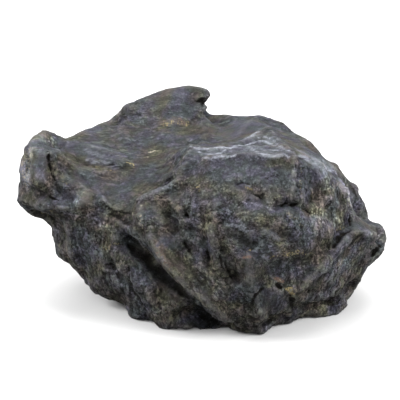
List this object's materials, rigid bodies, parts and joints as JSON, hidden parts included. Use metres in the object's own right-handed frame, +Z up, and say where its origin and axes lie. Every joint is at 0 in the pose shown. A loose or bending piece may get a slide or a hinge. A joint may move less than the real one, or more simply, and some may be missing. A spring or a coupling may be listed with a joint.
{
  "type": "lodestone",
  "caption": "Rugged dark lump of natural magnetite with a blunt horn at one end, a shallow dish, a hooked fin on top and a deep slanting furrow at the front.",
  "frame": {"origin": "centre of the bounding box's bottom face, on the surface that the stone rests on", "axes": "+X along the stone's length, from the horn towards the nose; +Y from the furrowed front towards the back; +Z up"},
  "size_m": [0.0706, 0.0492, 0.0362],
  "materials": {
    "magnetite": "dark blue-grey broken magnetite with a dull metallic gloss and flecks of ochre and rust"
  },
  "bodies": {
    "root": {"lodestone": "magnetite"}
  },
  "joints": []
}
